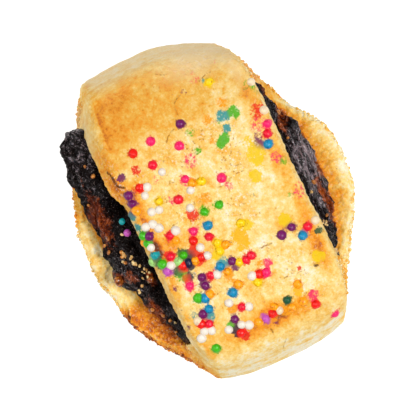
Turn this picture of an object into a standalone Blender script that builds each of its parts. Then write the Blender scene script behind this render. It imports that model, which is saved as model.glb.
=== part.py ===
"""A slice of a baked fig roll biscuit: a sleeve of dough, open at its two cut sides, round a filling.

X runs along the slice, Y along the log that it was cut from, and Z up. The origin is the middle of
the underside. The sleeve and its filling are first worked out as a straight log, and then one gentle
bend of space, settle(), gives both the same crown, tapered ends and ripples, so that they stay clear.
"""

import math
import random

import bmesh
import bpy
from mathutils import Matrix, Vector, noise
from mathutils.bvhtree import BVHTree

MM = 0.001

# Driving sizes of the slice
BASE_HALF = 36.6 * MM
TOP_HALF = 30.0 * MM
HEIGHT = 20.4 * MM
SOLE_DEPTH = 0.8 * MM
BASE_DOUGH = 3.4 * MM
TOP_DOUGH = 3.3 * MM
CAVITY_HALF = 27.0 * MM
GAP = 0.4 * MM

# How far each layer reaches towards +Y (side 1) and -Y (side -1) at the middle of the slice
TOP_REACH = {1: 18.2 * MM, -1: 16.3 * MM}
LOG_REACH = {1: 20.0 * MM, -1: 18.4 * MM}
BASE_SPREAD = {1: 9.4 * MM, -1: 11.6 * MM}
FIG_SPREAD = {1: 5.9 * MM, -1: 8.9 * MM}
FIG_BULGE = 3.6 * MM

# How far each end draws in at a corner, in millimetres, and the power by which it does so. A key
# says whether the corner is towards +X and whether it is towards +Y.
CORNERS = {
    (False, False): (0.9, 2.6),
    (False, True): (5.8, 1.5),
    (True, False): (2.5, 3.4),
    (True, True): (2.9, 3.4),
}

# Mesh fineness
AROUND = 88
ACROSS_TOP = 11
ACROSS_CAVITY = (0.96, 0.84, 0.6, 0.32, 0.02, -0.28, -0.56, -0.84, -0.96)
RIM_DEPTHS = (0.3, 0.72)
FIG_AROUND = 56
FIG_CAP_RINGS = 14
FIG_BARREL_RINGS = 8
OUTLINE_STEPS = 1440

# Sprinkles, seeds and crumbs
SPRINKLE_RADIUS = 0.88 * MM
SPRINKLE_PROUD = 0.22
SEED_SIZE = Vector((1.3, 1.0, 0.8)) * MM
CRUMB_SIZE = Vector((1.5, 1.1, 0.9)) * MM
SHAKE = 0.1
RANDOM_SEED = 26

# Runs of sprinkles on the crust: along and across from FIRST_SPOT, heading to the next grain, turn at
# each grain, spacing and count. Lengths are in millimetres, and angles in degrees.
FIRST_SPOT = (0.4, 0.0)
RUNS = (
    (-24.7, 9.7, 0, 0, 0, 1),
    (-19.0, 0.3, 0, 0, 0, 1),
    (-18.4, -6.9, -81, 0, 4.6, 2),
    (-15.0, -1.7, 0, 0, 0, 1),
    (-14.2, 17.7, 180, 0, 6.6, 2),
    (-11.3, 17.1, -22, 0, 2.1, 3),
    (-5.0, 3.5, 0, 0, 0, 1),
    (0.0, 0.6, -90, 0, 3.5, 2),
    (-6.1, -0.8, -107, -34, 1.8, 3),
    (-5.3, -3.5, 0, 0, 0, 1),
    (3.0, -3.5, -18, 0, 2.3, 2),
    (-11.4, -7.4, 212, 0, 2.6, 2),
    (-4.6, -6.8, 30, 0, 3.1, 2),
    (2.9, -6.7, -23, 39, 2.0, 3),
    (-6.0, -10.7, -26, -70, 1.7, 3),
    (-9.9, -11.7, -38, -130, 1.8, 3),
    (-0.9, -13.0, 218, 44, 1.5, 3),
    (1.1, -10.2, -68, 98, 1.6, 3),
    (-9.8, -16.1, 2, 0, 1.8, 3),
    (-0.8, -16.9, 60, -105, 1.5, 3),
    (2.1, -16.4, 0, -40, 1.9, 2),
    (6.5, -10.7, -66, -82, 1.8, 3),
    (7.4, -14.2, -122, 134, 1.9, 3),
    (8.7, -6.2, -92, 0, 1.4, 5),
    (7.2, -3.1, 49, -112, 1.7, 3),
    (5.5, 3.2, 0, 0, 0, 1),
    (11.6, 17.7, -78, 28, 2.1, 3),
    (10.7, 12.6, -75, 0, 2.8, 2),
    (12.6, 2.3, -75, -22, 1.5, 4),
    (17.3, 3.6, -100, 0, 1.5, 3),
    (18.5, 1.2, 0, 0, 0, 1),
    (13.6, -3.8, 209, 106, 1.8, 3),
    (13.0, -7.3, -106, 101, 1.9, 3),
    (17.0, -2.8, -56, 9, 2.2, 3),
    (21.8, -4.2, 74, 0, 1.5, 2),
    (16.5, -9.1, -79, -37, 1.5, 3),
    (19.3, -10.7, -75, 15, 1.7, 3),
    (22.2, -11.9, -112, 0, 1.6, 2),
    (23.6, -12.0, -106, 60, 1.6, 3),
    (13.1, -12.3, 0, 0, 0, 1),
    (27.4, -12.8, 0, 0, 0, 1),
    (23.6, -6.6, 27, 32, 1.7, 3),
    (25.0, -8.7, 48, 0, 2.8, 2),
    (25.7, 2.9, -83, 0, 1.7, 4),
    (24.6, 2.2, 0, 0, 0, 1),
    (26.5, 5.4, 94, -40, 2.8, 3),
    (22.3, 8.6, 0, 0, 0, 1),
    (24.5, 5.2, 0, 0, 0, 1),
    (31.6, 13.4, 0, 0, 0, 1),
    (5.1, -17.3, 180, 0, 4.4, 2),
)
RUN_ON_FILLING = (-5.4, -19.6, -2, 0, 2.7, 2)


def smooth(low, high, value):
    """0 below low, 1 above high, and an S curve between."""
    share = min(1.0, max(0.0, (value - low) / (high - low)))
    return share * share * (3 - 2 * share)


def mix(a, b, share):
    return a + (b - a) * share


def lobe(x, centre, left, right, power=3):
    """A flat-topped hump along X, 1 at its centre, with a width of its own on each side."""
    width = left if x < centre else right
    return math.exp(-((abs(x - centre) / width) ** power))


def ripple(point, size, seed):
    """Smooth noise from -1 to 1, whose waves are about size long."""
    return noise.noise(point / size + Vector((seed, 2.7 * seed, -seed)))


def rounded_outline(half_low, half_high, low, high, squareness):
    """A closed outline in the XZ plane, from the middle of its foot: a soft box, narrower at the top."""
    points = []
    for step in range(OUTLINE_STEPS):
        angle = math.tau * step / OUTLINE_STEPS - math.pi / 2
        across, up = math.cos(angle), math.sin(angle)
        reach = (abs(across) ** squareness + abs(up) ** squareness) ** (-1 / squareness)
        rise = 0.5 + 0.5 * reach * up
        half = mix(half_low, half_high, rise)
        points.append(Vector((half * reach * across, 0, mix(low, high, rise))))
    return points


def evenly(outline, count, foot_share):
    """count points along a closed outline, evenly spaced but for its foot, where they are spread wider."""
    middle = sum((p.z for p in outline), 0.0) / len(outline)
    lengths = [0.0]
    for here, after in zip(outline, outline[1:] + outline[:1]):
        density = mix(foot_share, 1.0, smooth(0.15 * middle, 0.6 * middle, here.z))
        lengths.append(lengths[-1] + (after - here).length * density)
    points, at = [], 0
    for step in range(count):
        wanted = lengths[-1] * step / count
        while lengths[at + 1] < wanted:
            at += 1
        points.append(outline[at].copy())
    return points


def stretched(outline, half_length):
    """The outline drawn out along X until it is as long as it should be."""
    stretch = half_length / max(p.x for p in outline)
    for point in outline:
        point.x *= stretch
    return outline


def crust_outline(count):
    """The outside of the sleeve. Its foot is cut flat by the tray that it was baked on."""
    outline = rounded_outline(BASE_HALF, TOP_HALF, -SOLE_DEPTH, HEIGHT, 5.2)
    for point in outline:
        point.z = max(0.0, point.z)
    return evenly(stretched(outline, BASE_HALF), count, 0.55)


def cavity_outline(count, inset=0.0):
    """The inside of the sleeve, or the filling's own outline when it is inset by the clearance."""
    low, high = BASE_DOUGH + inset, HEIGHT - TOP_DOUGH - inset
    outline = rounded_outline(CAVITY_HALF - inset, CAVITY_HALF - 1.5 * MM - inset, low, high, 3.1)
    return evenly(outline, count, 1.0)


def end_taper(x, amount):
    """How much a side draws in towards the rounded ends of the slice."""
    return amount * max(0.0, abs(x) / BASE_HALF - 0.55) ** 2 / 0.2


def top_edge(x, side):
    """Where the crust's upper face ends, at a cut side."""
    reach = TOP_REACH[side] - end_taper(x, 2.0 * MM)
    return reach + 0.3 * MM * ripple(Vector((x, side * reach, 0)), 6 * MM, 3)


def cut_run(x, side):
    """How far the cut face of the top dough slopes outwards over the dough's thickness."""
    if side > 0:
        return 0.7 * MM
    return 1.3 * MM + 2.1 * MM * smooth(2 * MM, 13 * MM, -x)


def base_edge(x, side):
    """Where the bottom dough ends: it spread out in the oven at the middle of each cut side."""
    if side > 0:
        spread = lobe(x, 3.2 * MM, 16 * MM, 15.5 * MM, 4 if x < 3.2 * MM else 3)
    else:
        spread = lobe(x, 3.2 * MM, 27 * MM, 22.5 * MM) - 0.16 * lobe(x, 10.6 * MM, 3 * MM, 3 * MM)
    reach = LOG_REACH[side] + BASE_SPREAD[side] * spread - end_taper(x, (4.5 if side > 0 else 2.9) * MM)
    return reach + 0.45 * MM * ripple(Vector((x, side * reach, 0)), 5 * MM, 5)


def fig_edge(x, side):
    """How far the filling slumps out at a cut side."""
    if side > 0:
        return 17.6 * MM + FIG_SPREAD[side] * lobe(x, 1.5 * MM, 19 * MM, 17.5 * MM)
    return 17.3 * MM + FIG_SPREAD[side] * lobe(x, -9 * MM, 18.3 * MM, 28 * MM, 6 if x < -9 * MM else 3)


def fig_bulge(x, z, side):
    """How far the filling swells towards -X past its own mouth, where it hangs over the bottom dough."""
    if side > 0:
        return 0.0
    out = fig_face(x, z, side) - top_edge(x, side) - cut_run(x, side)
    level = smooth(7 * MM, 10 * MM, z) * (1 - smooth(15 * MM, 16.6 * MM, z))
    clear = smooth(0.5 * MM, 1.4 * MM, out - 0.2 * max(0.0, 12 * MM - z))
    return FIG_BULGE * smooth(13 * MM, 22 * MM, -x) * clear * level


def settle(point):
    """Bends the straight log into the baked slice: crowned, tapered at its ends, and a little uneven."""
    x, y, z = point
    outer = max(0.0, abs(x) - 16 * MM) / (BASE_HALF - 16 * MM)
    draw, power = CORNERS[(x > 0, y > 0)]
    x -= math.copysign(draw * MM * outer**1.5 * min(1.2, abs(y) / (16 * MM)) ** power, x)
    height = smooth(0.25 * HEIGHT, 0.95 * HEIGHT, z)
    crown = -0.6 * MM * (y / (17 * MM)) ** 2 - 0.7 * MM * (x / TOP_HALF) ** 2
    waves = 0.55 * MM * ripple(Vector((x, y, 0)), 15 * MM, 1)
    z += height * (crown + waves)
    y += height * 0.5 * MM * ripple(Vector((x, 0, z)), 17 * MM, 8)
    return Vector((x, y, z))


def crust_edge(point, side):
    """The reach of the sleeve's outside at a point of its outline."""
    height = smooth(0.2 * HEIGHT, 0.85 * HEIGHT, point.z)
    return mix(base_edge(point.x, side) - 0.7 * MM, top_edge(point.x, side), height)


def cavity_edge(point, side):
    """The reach of the sleeve's inside at a point of its outline."""
    height = smooth(0.32 * HEIGHT, 0.62 * HEIGHT, point.z)
    top = top_edge(point.x, side) + cut_run(point.x, side)
    return mix(base_edge(point.x, side) - 1.3 * MM, top, height)


def rim_swell(point):
    """The bottom dough's rim is plump, and the top dough's cut is nearly flat."""
    height = smooth(0.1 * HEIGHT, 0.5 * HEIGHT, point.z)
    return mix(1.0 * MM, 0.15 * MM, height)


def lip_crease(point):
    """A crease in the cut face, beyond the filling, where top and bottom dough were pressed together."""
    near_end = smooth(0.93 * CAVITY_HALF, CAVITY_HALF, abs(point.x))
    return 1.5 * MM * near_end * math.exp(-(((point.z - 0.38 * HEIGHT) / (1.6 * MM)) ** 2))


def rim_points(crust, cavity, side):
    """The cut face of the dough at one side, from its outside to its inside."""
    points = []
    for depth in RIM_DEPTHS:
        point = crust.lerp(cavity, depth)
        reach = mix(crust_edge(crust, side), cavity_edge(cavity, side), depth)
        reach += rim_swell(point) * math.sin(math.pi * depth) - lip_crease(cavity) * depth
        points.append(Vector((point.x, side * reach, point.z)))
    return points


def sleeve_section(crust, cavity):
    """One section of the sleeve's wall: over the outside, round a rim, back inside, round the other rim."""
    section = []
    for step in range(ACROSS_TOP + 1):
        y = mix(-crust_edge(crust, -1), crust_edge(crust, 1), step / ACROSS_TOP)
        section.append(Vector((crust.x, y, crust.z)))
    section += rim_points(crust, cavity, 1)
    for share in (1.0, *ACROSS_CAVITY, -1.0):
        reach = cavity_edge(cavity, 1 if share > 0 else -1) - lip_crease(cavity)
        section.append(Vector((cavity.x, share * reach, cavity.z)))
    return section + rim_points(crust, cavity, -1)[::-1]


def flat_material(name, colour, roughness):
    material = bpy.data.materials.new(name)
    material.use_nodes = True
    surface = material.node_tree.nodes["Principled BSDF"]
    surface.inputs["Base Color"].default_value = (*colour, 1)
    surface.inputs["Roughness"].default_value = roughness
    surface.inputs["Metallic"].default_value = 0
    return material


def place(name, shape, material, collection):
    """Closes a bmesh into a named object of the collection."""
    shape.normal_update()
    bmesh.ops.recalc_face_normals(shape, faces=shape.faces)
    mesh = bpy.data.meshes.new(name)
    shape.to_mesh(mesh)
    shape.free()
    mesh.shade_smooth()
    made = bpy.data.objects.new(name, mesh)
    made.data.materials.append(material)
    collection.objects.link(made)
    return made


def make_sleeve(material, collection):
    """The dough: a torus whose every section becomes a section of the sleeve's wall."""
    crust, cavity = crust_outline(AROUND), cavity_outline(AROUND)
    sections = [sleeve_section(a, b) for a, b in zip(crust, cavity)]
    per_section = len(sections[0])
    bpy.ops.mesh.primitive_torus_add(major_segments=AROUND, minor_segments=per_section)
    torus = bpy.context.object
    shape = bmesh.new()
    shape.from_mesh(torus.data)
    bpy.data.objects.remove(torus)
    for vertex in shape.verts:
        section, step = divmod(vertex.index, per_section)
        vertex.co = settle(sections[section][step])
    for vertex in shape.verts:
        vertex.co.z = max(0.0, vertex.co.z)
    return place("dough", shape, material, collection)


def fig_face(x, z, side):
    """The filling's face at a cut side: tucked under the top dough, slumped out over the bottom dough."""
    low, high = BASE_DOUGH + GAP, HEIGHT - TOP_DOUGH - GAP
    rise = (z - low) / (high - low)
    under = top_edge(x, side) + cut_run(x, side) - 1.2 * MM
    slump = mix(0.9, 1.0, smooth(0, 0.25, rise)) * (1 - smooth(0.3, 1.05, rise))
    return under + max(0.0, fig_edge(x, side) - under) * slump


def fig_lumps(point):
    """Chopped figs and raisins: lumps about 5 mm across, creases between them, and finer wrinkles."""
    cell = noise.voronoi(point / (5.2 * MM), distance_metric="DISTANCE", exponent=2.5)[0]
    return MM * (1.3 - 2.4 * cell[0] + 0.4 * ripple(point, 2.2 * MM, 4))


def make_filling(material, collection):
    """The fig filling: a sphere with its poles on the cut sides, drawn out through the sleeve."""
    section = cavity_outline(FIG_AROUND, GAP)
    middle = Vector((0, 0, 0.5 * (BASE_DOUGH + HEIGHT - TOP_DOUGH)))
    rings = 2 * FIG_CAP_RINGS + FIG_BARREL_RINGS
    shape = bmesh.new()
    bmesh.ops.create_uvsphere(shape, u_segments=FIG_AROUND, v_segments=rings, radius=1)
    for vertex in shape.verts:
        polar = math.acos(max(-1.0, min(1.0, vertex.co.z)))
        ring = round(polar / math.pi * rings)
        turn = math.atan2(vertex.co.y, vertex.co.x) / math.tau
        rim = section[round(turn * FIG_AROUND) % FIG_AROUND]
        from_pole = min(ring, rings - ring)
        side = 1 if ring < rings / 2 else -1
        spread = min(1.0, from_pole / FIG_CAP_RINGS) ** 0.9
        flat = middle.lerp(rim, spread)
        reach = fig_face(flat.x, flat.z, side)
        if from_pole <= FIG_CAP_RINGS:
            inside = 1 - smooth(0.82, 1.0, spread)
            bulge = fig_bulge(flat.x, flat.z, side) * (1 - smooth(0.94, 1.0, spread))
            point = Vector((flat.x - bulge, side * reach, flat.z))
            point.y += side * fig_lumps(point) * inside
        else:
            share = (ring - FIG_CAP_RINGS) / FIG_BARREL_RINGS
            far = fig_face(flat.x, flat.z, -1)
            near = fig_face(flat.x, flat.z, 1)
            point = Vector((flat.x, mix(near, -far, share), flat.z))
        vertex.co = settle(point)
    return place("fig_filling", shape, material, collection)


def surface_below(tree, x, y):
    """The point of a surface that is hit from straight above, and its normal."""
    point, normal, _, _ = tree.ray_cast(Vector((x, y, 1)), Vector((0, 0, -1)))
    return point, normal


def run_spots(run, draw):
    """Where the grains of one run lie: along an arc of even steps, each grain shaken a little."""
    along, across, heading, turn, spacing, count = run
    for _ in range(count):
        yield (
            (FIRST_SPOT[0] + along + draw.uniform(-SHAKE, SHAKE)) * MM,
            (FIRST_SPOT[1] + across + draw.uniform(-SHAKE, SHAKE)) * MM,
        )
        along += spacing * math.cos(math.radians(heading))
        across += spacing * math.sin(math.radians(heading))
        heading += turn


def add_grain(name, centre, size, turn, segments, collection):
    """One sprinkle, seed or crumb: a small faceted ball."""
    shape = bmesh.new()
    bmesh.ops.create_uvsphere(shape, u_segments=segments, v_segments=4, radius=1)
    place_at = Matrix.Translation(centre) @ turn.to_4x4() @ Matrix.Diagonal(size).to_4x4()
    bmesh.ops.transform(shape, matrix=place_at, verts=shape.verts)
    return place(name, shape, None, collection)


def upright(normal, spin):
    """A turn that takes Z to the normal, after a spin about Z."""
    return normal.to_track_quat("Z", "Y").to_matrix() @ Matrix.Rotation(spin, 3, "Z")


def scatter_sprinkles(body, runs, grains):
    """Sprinkles half sunk in the upper face of a body."""
    tree = BVHTree.FromObject(body, bpy.context.evaluated_depsgraph_get())
    draw = random.Random(RANDOM_SEED)
    for run in runs:
        for x, y in run_spots(run, draw):
            radius = SPRINKLE_RADIUS * draw.uniform(0.92, 1.1)
            spin = draw.uniform(0, math.tau)
            point, normal = surface_below(tree, x, y)
            if point is None or point.z < 0.3 * HEIGHT:
                continue
            centre = point + normal * SPRINKLE_PROUD * radius
            size = Vector((radius, radius, radius))
            add_grain("sprinkle", centre, size, upright(normal, spin), 5, grains)


def scatter_seeds(filling, grains):
    """Fig seeds and crumbs of crust, spread evenly over what shows of the filling at both cut sides."""
    tree = BVHTree.FromObject(filling, bpy.context.evaluated_depsgraph_get())
    draw = random.Random(RANDOM_SEED + 1)
    for side, count, first, last in ((-1, 18, -24, 21), (1, 9, -15, 18)):
        for step in range(count):
            x = mix(first, last, (step + 0.5) / count) * MM
            under = top_edge(x, side) + cut_run(x, side)
            room = fig_edge(x, side) - under
            share = (0.25 + 0.618 * step) % 1.0
            y = side * (under + (0.25 + 0.6 * share) * room)
            point, normal = surface_below(tree, x, y)
            spin = draw.uniform(0, math.tau)
            size = (SEED_SIZE if step % 3 else CRUMB_SIZE) * 0.5 * draw.uniform(0.85, 1.15)
            if point is None or point.z < BASE_DOUGH + GAP + SEED_SIZE.x:
                continue
            add_grain("seed", point + normal * 0.15 * size.z, size, upright(normal, spin), 5, grains)


def fuse(body, grains):
    """Joins every grain of a collection to its body in one union, and clears the collection."""
    union = body.modifiers.new("grains", "BOOLEAN")
    union.operation = "UNION"
    union.operand_type = "COLLECTION"
    union.collection = grains
    union.solver = "MANIFOLD"
    graph = bpy.context.evaluated_depsgraph_get()
    joined = bpy.data.meshes.new_from_object(body.evaluated_get(graph))
    body.modifiers.remove(union)
    old, body.data = body.data, joined
    bpy.data.meshes.remove(old)
    for grain in list(grains.objects):
        bpy.data.objects.remove(grain)


def main():
    for old in list(bpy.data.objects):
        bpy.data.objects.remove(old)
    slice_parts = bpy.data.collections.new("fig_biscuit")
    grains = bpy.data.collections.new("grains")
    for collection in (slice_parts, grains):
        bpy.context.scene.collection.children.link(collection)
    baked_dough = flat_material("baked_dough", (0.78, 0.50, 0.20), 0.6)
    fig_paste = flat_material("fig_paste", (0.030, 0.014, 0.012), 0.3)
    dough = make_sleeve(baked_dough, slice_parts)
    filling = make_filling(fig_paste, slice_parts)
    bpy.context.view_layer.update()
    scatter_sprinkles(dough, RUNS, grains)
    fuse(dough, grains)
    scatter_sprinkles(filling, (RUN_ON_FILLING,), grains)
    scatter_seeds(filling, grains)
    fuse(filling, grains)
    bpy.data.collections.remove(grains)


main()
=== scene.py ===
import math
import random

import bpy
import numpy as np
from mathutils import Matrix, Vector, noise
from mathutils.bvhtree import BVHTree


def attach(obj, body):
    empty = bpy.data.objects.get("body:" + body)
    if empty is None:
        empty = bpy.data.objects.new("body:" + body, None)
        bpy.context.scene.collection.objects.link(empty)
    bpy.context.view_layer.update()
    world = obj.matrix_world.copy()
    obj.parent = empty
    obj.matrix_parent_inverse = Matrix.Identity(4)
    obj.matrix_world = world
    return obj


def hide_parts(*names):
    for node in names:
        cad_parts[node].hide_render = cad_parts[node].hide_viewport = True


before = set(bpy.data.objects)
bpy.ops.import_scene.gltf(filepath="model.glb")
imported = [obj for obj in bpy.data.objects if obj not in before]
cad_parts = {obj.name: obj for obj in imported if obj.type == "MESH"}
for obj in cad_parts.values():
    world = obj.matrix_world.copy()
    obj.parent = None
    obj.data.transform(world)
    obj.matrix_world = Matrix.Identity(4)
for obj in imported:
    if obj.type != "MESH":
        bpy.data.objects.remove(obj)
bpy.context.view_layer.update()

# A slice of baked fig biscuit: X along the slice, Y along the log that it was cut from, Z up.
# Every length below is in millimetres, and meshes are written in metres.

mm = 0.001

sliceForm = {  # the slice's driving sizes
    "baseHalf": 36.6, "topHalf": 30.0, "height": 20.4, "soleDepth": 0.8, "squareness": 5.2,
    "baseDough": 3.4, "topDough": 3.3, "cavityHalf": 27.0, "cavitySquareness": 3.1, "gap": 0.4,
    "topReach": {1: 18.2, -1: 16.3},   # how far each layer reaches towards +Y and -Y
    "logReach": {1: 20.0, -1: 18.4},
    "baseSpread": {1: 9.4, -1: 11.6},
    "figSpread": {1: 5.9, -1: 8.9}, "figBulge": 3.6,
    # how far each end draws in at a corner, and by which power; a key says whether it is towards +X and +Y
    "corners": {
        (False, False): (0.9, 2.6), (False, True): (5.8, 1.5),
        (True, False): (2.5, 3.4), (True, True): (2.9, 3.4),
    },
    "firstSpot": (0.4, 0.0),           # where along = across = 0 lies for all that is placed
}


# shape of the slice

def smooth(low, high, value):
    share = min(1.0, max(0.0, (value - low) / (high - low)))
    return share * share * (3 - 2 * share)


def mix(a, b, share):
    return a + (b - a) * share


def lobe(x, centre, left, right, power=3):
    return math.exp(-((abs(x - centre) / (left if x < centre else right)) ** power))


def ripple(point, size, seed):  # smooth noise from -1 to 1, with waves about size long
    return noise.noise(point / size + Vector((seed, 2.7 * seed, -seed)))


def roundedOutline(halfLow, halfHigh, low, high, squareness, steps=5760):
    points = []
    for step in range(steps):
        angle = math.tau * step / steps - math.pi / 2
        across, up = math.cos(angle), math.sin(angle)
        reach = (abs(across) ** squareness + abs(up) ** squareness) ** (-1 / squareness)
        rise = 0.5 + 0.5 * reach * up
        points.append(Vector((mix(halfLow, halfHigh, rise) * reach * across, 0, mix(low, high, rise))))
    return points


def evenly(outline, count, footShare):  # count points along a closed outline, spread wider on its foot
    middle = sum(p.z for p in outline) / len(outline)
    lengths = [0.0]
    for here, after in zip(outline, outline[1:] + outline[:1]):
        density = mix(footShare, 1.0, smooth(0.15 * middle, 0.6 * middle, here.z))
        lengths.append(lengths[-1] + (after - here).length * density)
    points, at = [], 0
    for step in range(count):
        while lengths[at + 1] < lengths[-1] * step / count:
            at += 1
        points.append(outline[at].copy())
    return points


def crustOutline(count, footShare):
    form = sliceForm
    outline = roundedOutline(
        form["baseHalf"], form["topHalf"], -form["soleDepth"], form["height"], form["squareness"])
    stretch = form["baseHalf"] / max(p.x for p in outline)
    for point in outline:
        point.x, point.z = point.x * stretch, max(0.0, point.z)
    return evenly(outline, count, footShare)


def cavityOutline(count, inset=0.0):
    form = sliceForm
    low, high = form["baseDough"] + inset, form["height"] - form["topDough"] - inset
    half = form["cavityHalf"] - inset
    return evenly(roundedOutline(half, half - 1.5, low, high, form["cavitySquareness"]), count, 1.0)


def endTaper(x, amount):
    return amount * max(0.0, abs(x) / sliceForm["baseHalf"] - 0.55) ** 2 / 0.2


def topEdge(x, side):
    reach = sliceForm["topReach"][side] - endTaper(x, 2.0)
    return reach + 0.3 * ripple(Vector((x, side * reach, 0)), 6, 3)


def cutRun(x, side):
    return 0.7 if side > 0 else 1.3 + 2.1 * smooth(5.5, 12.5, -x)


def baseEdge(x, side):
    if side > 0:
        spread, taper = lobe(x, 3.2, 16, 15.5, 4 if x < 3.2 else 3), 4.5
    else:
        spread, taper = lobe(x, 3.2, 27, 22.5) - 0.16 * lobe(x, 10.6, 3, 3), 2.9
    reach = sliceForm["logReach"][side] + sliceForm["baseSpread"][side] * spread - endTaper(x, taper)
    return reach + 0.45 * ripple(Vector((x, side * reach, 0)), 5, 5)


def figEdge(x, side):
    if side > 0:
        return 17.6 + sliceForm["figSpread"][side] * lobe(x, 1.5, 19, 17.5)
    return 17.3 + sliceForm["figSpread"][side] * lobe(x, -9, 18.3, 28, 6 if x < -9 else 3)


def figBulge(x, z, side):  # how far the filling swells towards -X, where it hangs over the bottom dough
    if side > 0:
        return 0.0
    out = figFace(x, z, side) - topEdge(x, side) - cutRun(x, side)
    level = smooth(7, 10, z) * (1 - smooth(15, 16.6, z))
    clear = smooth(0.0, 0.8, out - 0.2 * max(0.0, 12 - z))     # the paste clings to the rim of its mouth
    return sliceForm["figBulge"] * smooth(13, 22, -x) * clear * level


def settle(point):  # crowned, tapered in plan at its ends, and a little uneven
    x, y, z = point
    height, baseHalf = sliceForm["height"], sliceForm["baseHalf"]
    outer = max(0.0, abs(x) - 16) / (baseHalf - 16)
    draw, power = sliceForm["corners"][x > 0, y > 0]
    x -= math.copysign(draw * outer**1.5 * min(1.2, abs(y) / 16) ** power, x)
    lift = smooth(0.25 * height, 0.95 * height, z)
    crown = -0.6 * (y / 17) ** 2 - 0.7 * (x / sliceForm["topHalf"]) ** 2
    z += lift * (crown + 0.55 * ripple(Vector((x, y, 0)), 15, 1))
    y += lift * 0.5 * ripple(Vector((x, 0, z)), 17, 8)
    return x, y, z


def crustEdge(point, side):
    height = sliceForm["height"]
    up = smooth(0.2 * height, 0.85 * height, point.z)
    return mix(baseEdge(point.x, side) - 0.7, topEdge(point.x, side), up)


def cavityEdge(point, side):
    height = sliceForm["height"]
    up = smooth(0.32 * height, 0.62 * height, point.z)
    return mix(baseEdge(point.x, side) - 1.3, topEdge(point.x, side) + cutRun(point.x, side), up)


def rimSwell(z):
    return mix(1.0, 0.15, smooth(0.1 * sliceForm["height"], 0.5 * sliceForm["height"], z))


def lipCrease(point):
    nearEnd = smooth(0.93 * sliceForm["cavityHalf"], sliceForm["cavityHalf"], abs(point.x))
    return 1.5 * nearEnd * math.exp(-(((point.z - 0.38 * sliceForm["height"]) / 1.6) ** 2))


def figFace(x, z, side):
    form = sliceForm
    low, high = form["baseDough"] + form["gap"], form["height"] - form["topDough"] - form["gap"]
    rise = (z - low) / (high - low)
    under = topEdge(x, side) + cutRun(x, side) - 1.2
    slump = mix(0.9, 1.0, smooth(0, 0.25, rise)) * (1 - smooth(0.3, 1.05, rise))
    return under + max(0.0, figEdge(x, side) - under) * slump


# helpers for meshes, attributes and node trees

def smoothMesh(name, points, faces):
    mesh = bpy.data.meshes.new(name)
    mesh.from_pydata(points.reshape(-1, 3) * mm, [], faces)
    mesh.shade_smooth()
    return mesh


def gridMesh(name, points):  # rows x columns x 3, closed round both ways
    rows, columns, _ = points.shape
    index = np.arange(rows * columns).reshape(rows, columns)
    nextRow = np.roll(index, -1, axis=0)
    corners = [index, nextRow, np.roll(nextRow, -1, axis=1), np.roll(index, -1, axis=1)]
    return smoothMesh(name, points, np.stack([c.reshape(-1) for c in corners], axis=1).tolist())


def closedRings(name, points):  # rings along Y, closed round and capped with a point at each end
    rings, count, _ = points.shape
    index = np.arange(rings * count).reshape(rings, count)
    after = np.roll(index, -1, axis=1)
    faces = np.stack([index[:-1], after[:-1], after[1:], index[1:]], axis=-1).reshape(-1, 4).tolist()
    first, last = rings * count, rings * count + 1
    faces += [(first, after[0, k], index[0, k]) for k in range(count)]
    faces += [(last, index[-1, k], after[-1, k]) for k in range(count)]
    caps = np.stack([points[0].mean(axis=0), points[-1].mean(axis=0)])
    return smoothMesh(name, np.concatenate([points.reshape(-1, 3), caps]), faces)


def rayTree(mesh, points):
    return BVHTree.FromPolygons([Vector(p) for p in points], [tuple(f.vertices) for f in mesh.polygons])


def topHit(x, y, *trees):  # where a line straight down first meets the trees, and the normal there
    hits = [tree.ray_cast(Vector((x, y, 1000)), Vector((0, 0, -1)))[:2] for tree in trees]
    return max((hit for hit in hits if hit[0] is not None), key=lambda hit: hit[0].z, default=(None, None))


def vertexArray(mesh, field="co"):
    source = mesh.vertices if field == "co" else mesh.vertex_normals
    values = np.empty(len(mesh.vertices) * 3, np.float32)
    source.foreach_get("co" if field == "co" else "vector", values)
    values = values.reshape(-1, 3).astype(float)
    return values / mm if field == "co" else values


def setVertices(mesh, points):
    mesh.vertices.foreach_set("co", (points * mm).astype(np.float32).reshape(-1))
    mesh.update()


def paint(mesh, name, values):  # a float for each vertex, or a colour
    values = np.asarray(values, np.float32)
    kind = "FLOAT" if values.ndim == 1 else "FLOAT_COLOR"
    layer = mesh.attributes.new(name, kind, "POINT")
    if values.ndim > 1:
        values = np.concatenate([values, np.ones((len(values), 1), np.float32)], axis=1)
    layer.data.foreach_set("value" if kind == "FLOAT" else "color", values.reshape(-1))


def newObject(name, data):
    thing = bpy.data.objects.new(name, data)
    bpy.context.scene.collection.objects.link(thing)
    return thing


def addPiece(name, mesh, material, *replaced, slot="baked_dough"):
    piece = newObject(name, mesh)
    mesh.materials.clear()
    mesh.materials.append(material)
    if replaced:
        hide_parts(*replaced)
    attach(piece, "root")


def feed(tree, socket, value):  # links a socket, or sets its value; a colour comes without its alpha
    if isinstance(value, bpy.types.NodeSocket):
        tree.links.new(value, socket)
    else:
        socket.default_value = (*value, 1) if socket.type == "RGBA" else value


def dress(tree, node, values):
    for key, value in values.items():
        feed(tree, node.inputs[key], value)


def addNode(tree, kind, values, **settings):
    node = tree.nodes.new(kind)
    for key, value in settings.items():
        setattr(node, key, value)
    dress(tree, node, values)
    return node


def result(tree, kind, values, output=0, **settings):
    return addNode(tree, kind, values, **settings).outputs[output]


def combine(tree, operation, *values):
    return result(tree, "ShaderNodeMath", dict(enumerate(values)), operation=operation)


def times(tree, a, b):
    return combine(tree, "MULTIPLY", a, b)


def timesPlus(tree, a, b, c):
    return combine(tree, "MULTIPLY_ADD", a, b, c)


def vector(tree, operation, first, second, third=None):  # the second one is a number for SCALE
    values = {0: first, "Scale" if operation == "SCALE" else 1: second}
    if third is not None:
        values[2] = third
    return result(tree, "ShaderNodeVectorMath", values, operation=operation)


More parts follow.
